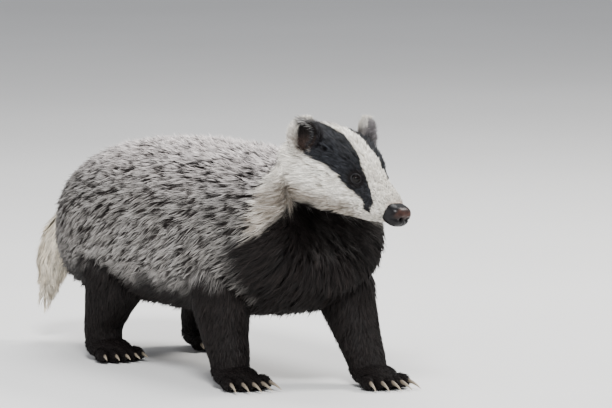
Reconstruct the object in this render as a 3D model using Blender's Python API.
# European badger, life size, standing on four feet with its head held up and turned a little left.
# Metres, +X towards the head, +Y to the animal's left, +Z up, floor at Z = 0.
import math
import random

import bmesh
import bpy
from mathutils import Matrix, Vector
from mathutils.bvhtree import BVHTree

# Driving dimensions
BACK_HEIGHT = 0.265  # floor to the tips of the coat on the back
TORSO_WIDTH = 0.222  # over the coat at the belly
HEAD_LENGTH = 0.150  # occiput to nose tip
HEAD_BASE = Vector((0.193, 0.004, 0.2634))  # centre of the head's rear
HEAD_PITCH = 23.0  # degrees, nose down
HEAD_TURN = 18.0  # degrees, to the animal's left
HEAD_TILT = 4.0  # degrees, left side down
EYE_RADIUS = 0.0060
EAR_WIDTH = 0.037
EAR_HEIGHT = 0.040
EAR_DEPTH = 0.019
NOSE_WIDTH = 0.029
MOUTH_RADIUS = 0.0010
TAIL_ROOM = 0.004  # between the tail's outline and the rump's locks
CLAW_FORE = 0.024
CLAW_HIND = 0.014
COAT_DEPTH = 0.009  # core of the torso to the tips of its locks
GAP = 0.0003  # between nodes that meet
BODY_SEED = 9
TAIL_SEED = 9

# Trunk rings from rump to throat: X, Y, centre height, pitch, turn, half width, height above and
# below the centre. Heights are shares of BACK_HEIGHT, half widths are shares of TORSO_WIDTH / 2.
TORSO_RINGS = (
    (-0.300, 0.000, 0.50, 0, 0, 0.20, 0.08, 0.09),
    (-0.294, 0.000, 0.51, 0, 0, 0.44, 0.17, 0.18),
    (-0.276, 0.000, 0.53, 0, 0, 0.64, 0.25, 0.26),
    (-0.246, 0.000, 0.56, 0, 0, 0.80, 0.305, 0.315),
    (-0.205, 0.000, 0.59, 0, 0, 0.92, 0.335, 0.345),
    (-0.150, 0.000, 0.61, 0, 0, 0.98, 0.355, 0.36),
    (-0.075, 0.000, 0.62, 0, 0, 1.00, 0.370, 0.37),
    (0.000, 0.000, 0.625, 0, 0, 0.98, 0.372, 0.37),
    (0.060, 0.001, 0.63, 0, 1, 0.96, 0.367, 0.36),
    (0.108, 0.004, 0.635, -5, 2, 0.95, 0.360, 0.350),
    (0.154, 0.010, 0.66, -13, 5, 0.92, 0.335, 0.345),
    (0.184, 0.015, 0.72, -19, 8, 0.87, 0.290, 0.330),
    (0.196, 0.014, 0.80, -11, 12, 0.76, 0.235, 0.290),
    (0.193, 0.009, 0.89, 8, 16, 0.54, 0.248, 0.230),
)
# Head rings, as shares of HEAD_LENGTH: place along the head, half width, height above and below.
HEAD_RINGS = (
    (0.00, 0.345, 0.293, 0.335),
    (0.13, 0.368, 0.310, 0.330),
    (0.30, 0.345, 0.300, 0.295),
    (0.47, 0.277, 0.262, 0.250),
    (0.60, 0.200, 0.212, 0.205),
    (0.70, 0.162, 0.168, 0.178),
    (0.80, 0.143, 0.130, 0.158),
    (0.89, 0.120, 0.100, 0.128),
    (0.955, 0.090, 0.070, 0.088),
)
# Swellings and hollows on the head, in shares of HEAD_LENGTH: along, out, up, spread, height.
HEAD_FORMS = (
    (0.50, 0.16, 0.21, 0.080, 0.014),
    (0.67, 0.13, 0.13, 0.050, -0.012),
    (0.38, 0.33, -0.03, 0.120, 0.020),
    (0.84, 0.12, -0.06, 0.070, 0.016),
    (0.42, 0.00, 0.29, 0.070, -0.010),
)
# A lock from root to tip: share of its length, height over the core, share of its width, and
# the height of the ridge along its middle. The root is sunk, the tip reaches the outline.
LOCK_SHAPE = (
    (0.00, -0.0060, 0.75, 0.0060),
    (0.35, 0.0022, 1.00, 0.0054),
    (0.72, 0.0066, 0.62, 0.0032),
    (1.00, 0.0084, 0.05, 0.0006),
)
# Coats: places from the rear to the front, length and width of a lock, spacing along and around,
# and how far the locks turn downwards, in radians for each metre of their length.
TORSO_COAT = ((0.6, 10.5), 0.062, 0.044, (0.046, 0.050), 5.5)
NECK_COAT = ((11.0, 13.2), 0.042, 0.036, (0.032, 0.046), 2.0)
TAIL_COAT = ((0.2, 3.2), 0.045, 0.026, (0.034, 0.030), 0.0)
TAIL_COAT_DEPTH = 0.007  # core of the tail to the tips of its locks
NECK_EASE = 1.6  # rings over which the coat's depth runs out towards the head
SQUARENESS = 2.25  # exponent of the rings' outline, 2 for an ellipse
NECK_RING, HEAD_RING = 10.3, 14.0  # where the trunk is parted, counted in rings

# Places on the head, in shares of HEAD_LENGTH: along, out to the side, up.
EAR_PLACE = (0.150, 0.348, 0.252)
EYE_ALONG = 0.60
EYE_ANGLE = 60.0  # degrees round the head from its crown
NOSE_PLACE = (0.935, 0.0, -0.012)
# Nose openings, in shares of NOSE_WIDTH from the pad's centre: along, out, up, then three radii.
NOSE_CUTS = (
    ("nostril", (0.36, 0.20, -0.03), (0.13, 0.10, 0.12)),
    ("slit", (0.26, 0.39, -0.08), (0.16, 0.12, 0.045)),
    ("groove", (0.46, 0.00, -0.20), (0.08, 0.025, 0.22)),
)
MOUTH_LINE = (
    (0.66, 0.19, -0.085),
    (0.72, 0.19, -0.120),
    (0.80, 0.16, -0.118),
    (0.88, 0.12, -0.100),
    (0.94, 0.07, -0.082),
    (0.97, 0.00, -0.075),
)

# Legs: level rings from the top down, each X, distance out, height, half length and half width,
# then for each leg its side, how far its top and its foot are moved ahead, foot and claw length.
FORELEG = (
    (0.098, 0.040, 0.190, 0.024, 0.018),
    (0.103, 0.050, 0.168, 0.038, 0.032),
    (0.104, 0.060, 0.130, 0.042, 0.036),
    (0.104, 0.066, 0.095, 0.037, 0.033),
    (0.112, 0.069, 0.062, 0.030, 0.028),
    (0.122, 0.070, 0.036, 0.025, 0.025),
    (0.128, 0.071, 0.014, 0.022, 0.023),
)
HINDLEG = (
    (-0.168, 0.042, 0.190, 0.026, 0.018),
    (-0.162, 0.050, 0.165, 0.050, 0.034),
    (-0.153, 0.060, 0.125, 0.056, 0.038),
    (-0.151, 0.067, 0.090, 0.047, 0.035),
    (-0.166, 0.072, 0.060, 0.034, 0.028),
    (-0.180, 0.074, 0.036, 0.025, 0.024),
    (-0.180, 0.075, 0.014, 0.022, 0.023),
)
LEG_SETS = (
    ("foreleg_right", FORELEG, -1, (0.004, 0.016), 0.060, CLAW_FORE),
    ("foreleg_left", FORELEG, 1, (0.036, 0.086), 0.060, CLAW_FORE),
    ("hindleg_right", HINDLEG, -1, (0.000, 0.030), 0.066, CLAW_HIND),
    ("hindleg_left", HINDLEG, 1, (0.000, -0.012), 0.066, CLAW_HIND),
)
FOOT_HALF_WIDTH = 0.026
FOOT_HALF_HEIGHT = 0.0165
CLAW_RADIUS = 0.0027
TOE_RADIUS = 0.0076
TOES = 5
LEG_SIDES = 10

# Tail: points from its root in the rump, with the radius over the coat there.
TAIL_POINTS = (
    ((-0.268, 0.000, 0.180), 0.021),
    ((-0.296, -0.009, 0.167), 0.025),
    ((-0.319, -0.023, 0.145), 0.028),
    ((-0.332, -0.035, 0.118), 0.027),
    ((-0.338, -0.044, 0.090), 0.022),
    ((-0.340, -0.049, 0.066), 0.011),
)

BLACK, GREY = (0.012, 0.011, 0.011, 1.0), (0.30, 0.28, 0.26, 1.0)
WHITE, BUFF = (0.78, 0.76, 0.70, 1.0), (0.62, 0.57, 0.47, 1.0)
FUR, WET = 0.8, 0.2  # roughness


def material(name, colour, roughness):
    mat = bpy.data.materials.new(name)
    mat.use_nodes = True
    shader = mat.node_tree.nodes["Principled BSDF"]
    shader.inputs["Base Color"].default_value = colour
    shader.inputs["Roughness"].default_value = roughness
    shader.inputs["Metallic"].default_value = 0.0
    return mat


def spline(rows, place):
    """A row at this place between the rows, on a Catmull-Rom curve through them."""
    last = len(rows) - 1
    i = min(max(int(place), 0), last - 1)
    t = place - i
    a, b, c, d = (rows[min(max(k, 0), last)] for k in (i - 1, i, i + 1, i + 2))
    return [
        q + 0.5 * t * (r - p + t * (2 * p - 5 * q + 4 * r - s + t * (3 * (q - r) + s - p)))
        for p, q, r, s in zip(a, b, c, d)
    ]


def axes(pitch, turn, tilt):
    """Forward, left and up of a ring, from degrees of nose down, turn left and left side down."""
    spin = Matrix.Rotation(math.radians(turn), 3, "Z") @ Matrix.Rotation(math.radians(pitch), 3, "Y")
    spin = spin @ Matrix.Rotation(math.radians(-tilt), 3, "X")
    return spin.col[0].copy(), spin.col[1].copy(), spin.col[2].copy()


HEAD_AXES = axes(HEAD_PITCH, HEAD_TURN, HEAD_TILT)


def on_head(along, out, up, side=1):
    """A point of the head, from shares of its length."""
    forward, left, upward = HEAD_AXES
    offset = along * forward + side * out * left + up * upward
    return HEAD_BASE + HEAD_LENGTH * offset


def trunk_rows():
    """All rings of torso, neck and head, in metres: centre, three angles, half width, up, down."""
    rows = []
    for x, y, height, pitch, turn, width, up, down in TORSO_RINGS:
        centre = (x, y, height * BACK_HEIGHT)
        sizes = (width * TORSO_WIDTH / 2, up * BACK_HEIGHT, down * BACK_HEIGHT)
        rows.append((*centre, pitch, turn, 0.0, *sizes))
    for along, width, up, down in HEAD_RINGS:
        sizes = (width * HEAD_LENGTH, up * HEAD_LENGTH, down * HEAD_LENGTH)
        rows.append((*on_head(along, 0, 0), HEAD_PITCH, HEAD_TURN, HEAD_TILT, *sizes))
    return rows


TRUNK = trunk_rows()


def head_form(point):
    """How far the head's swellings and hollows move this point out."""
    total = 0.0
    for along, out, up, spread, height in HEAD_FORMS:
        for side in (-1, 1):
            distance = (point - on_head(along, out, up, side)).length / (spread * HEAD_LENGTH)
            total += height * HEAD_LENGTH * math.exp(-distance * distance)
    return total


def trunk_point(place, angle, depth=0.0):
    """A point of the trunk: place in rings, angle from the top towards the left, depth inwards."""
    x, y, z, pitch, turn, tilt, width, up, down = spline(TRUNK, place)
    _, left, upward = axes(pitch, turn, tilt)
    s, c = math.sin(angle), math.cos(angle)
    height = up if c > 0 else down
    out = math.copysign(abs(s) ** (2 / SQUARENESS), s) * max(width - depth, 0.004)
    rise = math.copysign(abs(c) ** (2 / SQUARENESS), c) * max(height - depth, 0.004)
    point = Vector((x, y, z)) + out * left + rise * upward
    if place > HEAD_RING - 1:
        outward = (out * left + rise * upward).normalized()
        point += head_form(point) * outward
    return point


def loft(name, rings):
    """A closed mesh object through rings of points, capped at both ends, faces out."""
    mesh = bmesh.new()
    loops = [[mesh.verts.new(p) for p in ring] for ring in rings]
    for one, two in zip(loops, loops[1:]):
        for k in range(len(one)):
            n = (k + 1) % len(one)
            mesh.faces.new((one[k], one[n], two[n], two[k]))
    mesh.faces.new(loops[0])
    mesh.faces.new(loops[-1])
    bmesh.ops.recalc_face_normals(mesh, faces=mesh.faces)
    if mesh.calc_volume(signed=True) < 0:
        bmesh.ops.reverse_faces(mesh, faces=mesh.faces)
    return as_object(name, mesh)


def as_object(name, mesh):
    data = bpy.data.meshes.new(name)
    mesh.to_mesh(data)
    mesh.free()
    made = bpy.data.objects.new(name, data)
    bpy.context.scene.collection.objects.link(made)
    return made


def ellipsoid(name, centre, radii, turn=None, segments=16, rings=10):
    """A closed ball, scaled to three radii and turned about its centre."""
    mesh = bmesh.new()
    bmesh.ops.create_uvsphere(mesh, u_segments=segments, v_segments=rings, radius=1.0)
    shape = (turn or Matrix.Identity(3)).to_4x4() @ Matrix.Diagonal((*radii, 1.0))
    bmesh.ops.transform(mesh, matrix=Matrix.Translation(centre) @ shape, verts=mesh.verts)
    return as_object(name, mesh)


def combine(target, others, operation="UNION"):
    """Joins meshes to the target, or cuts them from it, in one Boolean, and removes them."""
    group = bpy.data.collections.new("operands")
    bpy.context.scene.collection.children.link(group)
    for other in others:
        for home in list(other.users_collection):
            home.objects.unlink(other)
        group.objects.link(other)
    boolean = target.modifiers.new("combine", "BOOLEAN")
    boolean.operation = operation
    boolean.operand_type = "COLLECTION"
    boolean.collection = group
    # EXACT takes minutes on a coat of overlapping locks
    boolean.solver = "MANIFOLD"
    apply_modifiers(target)
    for other in others:
        bpy.data.objects.remove(other)
    bpy.data.collections.remove(group)
    keep_largest(target)
    return target


def apply_modifiers(made):
    graph = bpy.context.evaluated_depsgraph_get()
    old = made.data
    made.data = bpy.data.meshes.new_from_object(made.evaluated_get(graph))
    made.modifiers.clear()
    bpy.data.meshes.remove(old)


def keep_largest(made):
    """Drops every loose scrap and sealed hollow but the closed surface with the largest box."""
    mesh = bmesh.new()
    mesh.from_mesh(made.data)
    left = set(mesh.faces)
    pieces = []
    while left:
        found, front = [], [left.pop()]
        while front:
            face = front.pop()
            found.append(face)
            for edge in face.edges:
                for other in edge.link_faces:
                    if other in left:
                        left.remove(other)
                        front.append(other)
        pieces.append(found)
    pieces.sort(key=box_size)
    scraps = [face for piece in pieces[:-1] for face in piece]
    bmesh.ops.delete(mesh, geom=scraps, context="FACES")
    mesh.to_mesh(made.data)
    mesh.free()


def box_size(faces):
    corners = [vertex.co for face in faces for vertex in face.verts]
    return math.hypot(*(max(c[k] for c in corners) - min(c[k] for c in corners) for k in range(3)))


def duplicate(made):
    copy = made.copy()
    copy.data = made.data.copy()
    bpy.context.scene.collection.objects.link(copy)
    return copy


def surface_tree(made):
    mesh = bmesh.new()
    mesh.from_mesh(made.data)
    tree = BVHTree.FromBMesh(mesh)
    mesh.free()
    return tree


def lock(name, surface, start, drift, length, width, rng):
    """A tapered lock, flat above and keeled below, that lies back along a surface."""
    place, angle = start
    ahead = surface(place + 0.1, angle, 0.0) - surface(place - 0.1, angle, 0.0)
    per_metre = 0.2 / max(ahead.length, 1e-4)
    sway = rng.uniform(-0.12, 0.12)
    centres = []
    for t, lift, _, _ in LOCK_SHAPE:
        turned = angle + drift * t + sway * t * t
        centres.append(surface(place - length * t * per_metre, turned, lift))
    rings = []
    for k, (t, _, wide, thick) in enumerate(LOCK_SHAPE):
        along = centres[min(k + 1, len(centres) - 1)] - centres[max(k - 1, 0)]
        inward = -surface_normal(surface, place - length * t * per_metre, angle)
        side = along.cross(inward).normalized() * wide * width / 2
        keel = side.cross(along).normalized() * thick
        rings.append([centres[k] - side, centres[k] + keel, centres[k] + side])
    return loft(name, rings)


def surface_normal(surface, place, angle):
    """The outward direction of a surface given by place, angle and lift."""
    small = 0.05
    along = surface(place + small, angle, 0.0) - surface(place - small, angle, 0.0)
    around = surface(place, angle + small, 0.0) - surface(place, angle - small, 0.0)
    return along.cross(around).normalized()


def coat(surface, span, length, width, spacing, drift, rng):
    """Locks in staggered rows over the places from span[0] to span[1] of a surface."""
    locks = []
    place, row = span[1], 0
    while place > span[0]:
        ring = [surface(place, math.tau * k / 24, 0.0) for k in range(25)]
        girth = sum((b - a).length for a, b in zip(ring, ring[1:]))
        count = max(int(girth / spacing[1]), 5)
        for k in range(count):
            angle = math.tau * (k + 0.5 * (row % 2) + rng.uniform(-0.15, 0.15)) / count
            long = length * rng.uniform(0.85, 1.1)
            wide = width * rng.uniform(0.9, 1.12)
            turn = drift * math.sin(angle) * long
            start = (place + rng.uniform(-0.05, 0.0), angle)
            locks.append(lock(f"lock_{row}_{k}", surface, start, turn, long, wide, rng))
        step = surface(place, 0.9, 0.0) - surface(place - 0.2, 0.9, 0.0)
        place -= 0.2 * spacing[0] / max(step.length, 0.002)
        row += 1
    return locks


def trunk_core(place, angle, lift):
    """The surface that the body's locks grow from, with a height above it."""
    return trunk_point(max(place, 0.0), angle, COAT_DEPTH - lift)


def half_space(name, place, ahead):
    """A block that fills one side of the trunk's ring at this place, half a gap away from it."""
    x, y, z, pitch, turn, tilt, *_ = spline(TRUNK, place)
    forward, left, upward = axes(pitch, turn, tilt)
    size = 0.7
    mesh = bmesh.new()
    bmesh.ops.create_cube(mesh, size=size)
    sign = 1 if ahead else -1
    centre = Vector((x, y, z)) + forward * sign * (size / 2 - GAP / 2)
    turn_to = Matrix((forward, left, upward)).transposed().to_4x4()
    bmesh.ops.transform(mesh, matrix=Matrix.Translation(centre) @ turn_to, verts=mesh.verts)
    return as_object(name, mesh)


def trunk_piece(name, places, sides, depth, ahead=0.0):
    """A stretch of the trunk between the first and last of these places, its first ring moved."""
    rings = [
        [trunk_point(p, math.tau * k / sides, depth(p)) for k in range(sides)] for p in places
    ]
    rings[0] = [point + HEAD_AXES[0] * ahead for point in rings[0]]
    return loft(name, rings)


def spread(first, last, count):
    return [first + (last - first) * k / (count - 1) for k in range(count)]


HEAD_PLACES = spread(HEAD_RING, HEAD_RING + 3, 7)[:-1] + spread(HEAD_RING + 3, HEAD_RING + 8, 12)


def make_body():
    """Torso and neck with their locks, fused and then parted by a thin cut."""
    rng = random.Random(BODY_SEED)
    places = spread(0.0, 4.0, 7)[:-1] + spread(4.0, HEAD_RING, 12)
    core = trunk_piece("torso", places, 24, core_depth)
    locks = coat(trunk_core, *TORSO_COAT, rng) + coat(neck_core, *NECK_COAT, rng)
    combine(core, locks)
    neck = duplicate(core)
    neck.name = "neck"
    combine(core, [half_space("ahead", NECK_RING, True)], "DIFFERENCE")
    combine(neck, [half_space("behind", NECK_RING, False)], "DIFFERENCE")
    head_room = trunk_piece("head_room", HEAD_PLACES, 24, lambda place: -GAP, -GAP / 3)
    combine(neck, [head_room], "DIFFERENCE")
    return core, neck


def core_depth(place):
    """The core's depth under the outline: full on the torso, none where the head begins."""
    return COAT_DEPTH * min(max((HEAD_RING - place) / NECK_EASE, 0.0), 1.0)


def neck_core(place, angle, lift):
    depth = core_depth(place)
    share = depth / COAT_DEPTH
    return trunk_point(place, angle, depth - max(lift * share, lift if lift < 0 else 0.0))


def ear_turn(side):
    """Axes of an ear: out of its opening, along its width, up to its tip."""
    forward, left, upward = HEAD_AXES
    opening = (0.62 * forward + side * 0.74 * left + 0.20 * upward).normalized()
    tip = (side * 0.36 * left + 0.92 * upward - 0.16 * forward)
    tip = (tip - tip.dot(opening) * opening).normalized()
    return Matrix((opening, tip.cross(opening), tip)).transposed()


def ear_shell(name, side, grow=0.0):
    radii = (EAR_DEPTH / 2 + grow, EAR_WIDTH / 2 + grow, EAR_HEIGHT / 2 + grow)
    return ellipsoid(name, on_head(*EAR_PLACE, side), radii, ear_turn(side), 14, 10)


def make_ear(name, side):
    """A rounded ear, hollowed from its opening into a cup."""
    shell = ear_shell(name, side)
    turn = ear_turn(side)
    centre = on_head(*EAR_PLACE, side) + turn.col[0] * EAR_DEPTH * 0.36 + turn.col[2] * 0.002
    radii = (EAR_DEPTH * 0.55, EAR_WIDTH * 0.34, EAR_HEIGHT * 0.34)
    hollow = ellipsoid("hollow", centre, radii, turn, 12, 8)
    return combine(shell, [hollow], "DIFFERENCE")


def eye_centre(side):
    """The eyeball sits under the skin of the head, a third of it showing."""
    place = HEAD_RING + head_place(EYE_ALONG)
    angle = side * math.radians(EYE_ANGLE)
    surface = trunk_point(place, angle)
    outward = surface_normal(trunk_point, place, angle)
    return surface - outward * EYE_RADIUS * 0.45, outward


def head_place(along):
    """The ring number of a place along the head."""
    for k, (one, two) in enumerate(zip(HEAD_RINGS, HEAD_RINGS[1:])):
        if along <= two[0]:
            return k + (along - one[0]) / (two[0] - one[0])
    return len(HEAD_RINGS) - 1


def eye_lids(side):
    """An almond rim round the eyeball, leaning with the eye's axis."""
    centre, outward = eye_centre(side)
    forward = HEAD_AXES[0]
    along = (forward - forward.dot(outward) * outward).normalized()
    turn = Matrix((along, outward.cross(along), outward)).transposed().to_4x4()
    bpy.ops.mesh.primitive_torus_add(
        major_radius=EYE_RADIUS * 0.98,
        minor_radius=EYE_RADIUS * 0.30,
        major_segments=14,
        minor_segments=6,
    )
    rim = bpy.context.object
    squash = Matrix.Diagonal((1.12, 0.86, 1.0, 1.0))
    lifted = centre + outward * EYE_RADIUS * 0.42
    rim.data.transform(Matrix.Translation(lifted) @ turn @ squash)
    return rim


def nose_solid(name, grow=0.0):
    """The nose pad: a blunt ball, flattened in front, on the muzzle's tip."""
    forward, left, upward = HEAD_AXES
    turn = Matrix((forward, left, upward)).transposed()
    radii = (NOSE_WIDTH * 0.46 + grow, NOSE_WIDTH * 0.50 + grow, NOSE_WIDTH * 0.46 + grow)
    return ellipsoid(name, on_head(*NOSE_PLACE), radii, turn, 14, 10)


def make_nose():
    """The nose pad with its two nostrils and the groove between them."""
    forward, left, upward = HEAD_AXES
    turn = Matrix((forward, left, upward)).transposed()
    cutters = []
    for name, (along, out, up), sizes in NOSE_CUTS:
        for side in (-1, 1) if out else (1,):
            offset = along * forward + side * out * left + up * upward
            centre = on_head(*NOSE_PLACE) + NOSE_WIDTH * offset
            radii = [NOSE_WIDTH * size for size in sizes]
            cutters.append(ellipsoid(name, centre, radii, turn, 8, 6))
    return combine(nose_solid("nose"), cutters, "DIFFERENCE")


def mouth_cutter(head):
    """A thin tube on the head's surface, from one corner of the mouth to the other."""
    tree = surface_tree(head)
    half = [on_head(*place, 1) for place in MOUTH_LINE]
    other = [on_head(*place, -1) for place in MOUTH_LINE[:-1]]
    line = [tree.find_nearest(point)[0] for point in half + other[::-1]]
    curve = bpy.data.curves.new("mouth", "CURVE")
    curve.dimensions = "3D"
    curve.bevel_depth = MOUTH_RADIUS
    curve.bevel_resolution = 0
    curve.use_fill_caps = True
    path = curve.splines.new("POLY")
    rows = [tuple(point) for point in line]
    fine = [spline(rows, k / 2) for k in range(2 * len(rows) - 1)]
    path.points.add(len(fine) - 1)
    for point, place in zip(path.points, fine):
        point.co = (*place, 1.0)
    guide = bpy.data.objects.new("mouth_guide", curve)
    bpy.context.scene.collection.objects.link(guide)
    graph = bpy.context.evaluated_depsgraph_get()
    data = bpy.data.meshes.new_from_object(guide.evaluated_get(graph))
    mesh = bmesh.new()
    mesh.from_mesh(data)
    bmesh.ops.remove_doubles(mesh, verts=mesh.verts, dist=1e-5)
    bmesh.ops.recalc_face_normals(mesh, faces=mesh.faces)
    bpy.data.objects.remove(guide)
    return as_object("mouth", mesh)


def make_head():
    """Skull, cheeks, muzzle and jaw in one, with sockets for ears, eyes and nose."""
    head = trunk_piece("head", HEAD_PLACES, 24, lambda place: 0.0, GAP * 2 / 3)
    combine(head, [mouth_cutter(head)], "DIFFERENCE")
    combine(head, [eye_lids(side) for side in (-1, 1)])
    sockets = [nose_solid("nose_socket", GAP)]
    for side in (-1, 1):
        sockets.append(ear_shell("ear_socket", side, GAP))
        radius = EYE_RADIUS + GAP
        sockets.append(ellipsoid("eye_socket", eye_centre(side)[0], (radius,) * 3, None, 12, 8))
    return combine(head, sockets, "DIFFERENCE")


def leg_tube(name, rings, side, step, grow=0.0):
    """The leg from its top inside the body to its ankle, moved ahead by the two steps."""
    fine = [spline(rings, k / 2) for k in range(2 * len(rings) - 1)]
    top = fine[0][2]
    loops = []
    for x, y, z, long, wide in fine:
        ahead = x + step[1] + (step[0] - step[1]) * z / top
        level = z + (grow if z == top else 0.0)
        centre = Vector((ahead, side * y, level))
        turns = [math.tau * k / LEG_SIDES for k in range(LEG_SIDES)]
        half_sizes = Vector((long + grow, wide + grow, 0))
        loops.append([centre + half_sizes * Vector((math.cos(a), math.sin(a), 0)) for a in turns])
    return loft(name, loops)


def claw(name, root, direction, length):
    """A curved tapering claw that runs forward and down from its toe."""
    rings = []
    side = Vector((-direction.y, direction.x, 0)).normalized()
    for t in (0.0, 0.4, 0.75, 1.0):
        radius = CLAW_RADIUS * (1 - 0.8 * t ** 1.5)
        drop = Vector((0, 0, -0.30 * length * t * t))
        centre = root + direction * length * t + drop
        rings.append([
            centre + radius * (math.cos(a) * side + math.sin(a) * Vector((0, 0, 1)))
            for a in (math.tau * k / 5 for k in range(5))
        ])
    return loft(name, rings)


def make_leg(name, rings, side, step, foot_length, claw_length):
    """One leg to the claws of its foot, with a flat sole on the floor."""
    leg = leg_tube(name, rings, side, step)
    x, y, z, *_ = rings[-1]
    ahead = x + step[1] + (step[0] - step[1]) * z / rings[0][2]
    ankle = Vector((ahead, side * y, z))
    middle = Vector((ankle.x + foot_length * 0.18, ankle.y, 0.012))
    radii = (foot_length * 0.52, FOOT_HALF_WIDTH, FOOT_HALF_HEIGHT)
    pieces = [ellipsoid("sole", middle, radii, None, 12, 7)]
    for k in range(TOES):
        across = 2 * k / (TOES - 1) - 1
        ahead = foot_length * (0.62 - 0.10 * across * across)
        heading = Vector((1, 0.22 * across, 0)).normalized()
        toe = Vector((ankle.x + ahead, ankle.y + across * (FOOT_HALF_WIDTH - 0.004), 0.0085))
        radii = (TOE_RADIUS * 1.9, TOE_RADIUS, TOE_RADIUS * 1.15)
        spin = Matrix.Rotation(math.atan2(heading.y, heading.x), 3, "Z")
        pieces.append(ellipsoid(f"toe_{k}", toe, radii, spin, 8, 5))
        root = toe + heading * TOE_RADIUS * 1.3 + Vector((0, 0, 0.0012))
        pieces.append(claw(f"claw_{k}", root, heading, claw_length))
    combine(leg, pieces)
    mesh = bmesh.new()
    bmesh.ops.create_cube(mesh, size=0.6)
    bmesh.ops.translate(mesh, vec=(0, 0, -0.3), verts=mesh.verts)
    return combine(leg, [as_object("floor", mesh)], "DIFFERENCE")


def tail_point(place, angle, depth=0.0):
    """A point of the tail: place from its root, angle from its upper side, depth inwards."""
    rows = [(*centre, radius) for centre, radius in TAIL_POINTS]
    last = len(rows) - 1
    place = min(max(place, 0.0), float(last))
    row = spline(rows, place)
    after = Vector(spline(rows, min(place + 0.05, last))[:3])
    before = Vector(spline(rows, max(place - 0.05, 0))[:3])
    ahead = (after - before).normalized()
    side = ahead.cross(Vector((0, 0, 1))).normalized()
    upward = side.cross(ahead)
    radius = max(row[3] - depth, 0.004)
    return Vector(row[:3]) + radius * (math.cos(angle) * upward - math.sin(angle) * side)


def tail_depth(place):
    """How far the tail's core lies under its outline: none where it enters the rump."""
    return TAIL_COAT_DEPTH * min(max((place - 1.0) / 1.5, 0.0), 1.0)


def tail_piece(name, places, depth):
    rings = [[tail_point(p, math.tau * k / 12, depth(p)) for k in range(12)] for p in places]
    return loft(name, rings)


def tail_space(name, grow=0.0):
    """The room that the tail and its locks keep to, which the torso leaves open."""
    last = len(TAIL_POINTS) - 1

    def widening(place):
        return -grow - TAIL_ROOM * min(max(place - 1.0, 0.0), 1.0)

    rings = [
        [tail_point(p, math.tau * k / 12, widening(p)) for k in range(12)]
        for p in [0.0, 0.5, 1.0, 1.5, 2.0, 3.0, 4.0]
    ]
    onward = Vector(TAIL_POINTS[-1][0]) - Vector(TAIL_POINTS[-2][0])
    rings.append([point + onward * 3 for point in rings[-1]])
    if grow:
        inward = Vector(TAIL_POINTS[0][0]) - Vector(TAIL_POINTS[1][0])
        rings[0] = [point + inward.normalized() * grow for point in rings[0]]
    return loft(name, rings)


def tail_core(place, angle, lift):
    """The tail's surface for its locks, which run on towards its tip as the place falls."""
    last = len(TAIL_POINTS) - 1
    from_root = last - place
    over = max(from_root - last, 0.0)
    depth = tail_depth(min(from_root, last))
    point = tail_point(from_root, angle, depth - min(lift, depth * 0.93))
    rows = [Vector(centre) for centre, _ in TAIL_POINTS]
    return point + (rows[-1] - rows[-2]) * over


def make_tail():
    """The tail's core and the long locks that hang past its tip."""
    rng = random.Random(TAIL_SEED)
    core = tail_piece("tail", spread(0.0, len(TAIL_POINTS) - 1, 11), tail_depth)
    locks = coat(tail_core, *TAIL_COAT, rng)
    combine(core, locks)
    return combine(core, [tail_space("tail_space")], "INTERSECT")


def paint(made, mat):
    made.data.materials.clear()
    made.data.materials.append(mat)
    made.data.polygons.foreach_set("material_index", [0] * len(made.data.polygons))
    made.data.shade_smooth()


def clear_scene():
    for old in list(bpy.data.objects):
        bpy.data.objects.remove(old)


def centre_on_floor(nodes):
    """Moves every node alike, so that the model's box is centred over the origin."""
    corners = [v.co for node in nodes for v in node.data.vertices]
    middle = [(max(c[k] for c in corners) + min(c[k] for c in corners)) / 2 for k in (0, 1)]
    for node in nodes:
        node.data.transform(Matrix.Translation((-middle[0], -middle[1], 0.0)))


def build():
    clear_scene()
    torso, neck = make_body()
    tail = make_tail()
    legs = [make_leg(*spec) for spec in LEG_SETS]
    sleeves = [leg_tube("sleeve", *spec[1:4], GAP) for spec in LEG_SETS]
    sleeves.append(tail_space("sleeve", GAP))
    combine(neck, [duplicate(sleeve) for sleeve in sleeves], "DIFFERENCE")
    combine(torso, sleeves, "DIFFERENCE")
    nodes = [(torso, GREY, FUR), (neck, WHITE, FUR), (tail, BUFF, FUR), (make_head(), WHITE, FUR)]
    nodes += [(leg, BLACK, FUR) for leg in legs]
    nodes.append((make_nose(), BLACK, WET))
    for name, side in (("right", -1), ("left", 1)):
        nodes.append((make_ear(f"ear_{name}", side), WHITE, FUR))
        radii = (EYE_RADIUS,) * 3
        eye = ellipsoid(f"eye_{name}", eye_centre(side)[0], radii, None, 12, 8)
        nodes.append((eye, BLACK, WET))
    badger = bpy.data.collections.new("european_badger")
    bpy.context.scene.collection.children.link(badger)
    for node, colour, roughness in nodes:
        paint(node, material(f"{node.name}_surface", colour, roughness))
        bpy.context.scene.collection.objects.unlink(node)
        badger.objects.link(node)
    centre_on_floor([node for node, _, _ in nodes])


build()
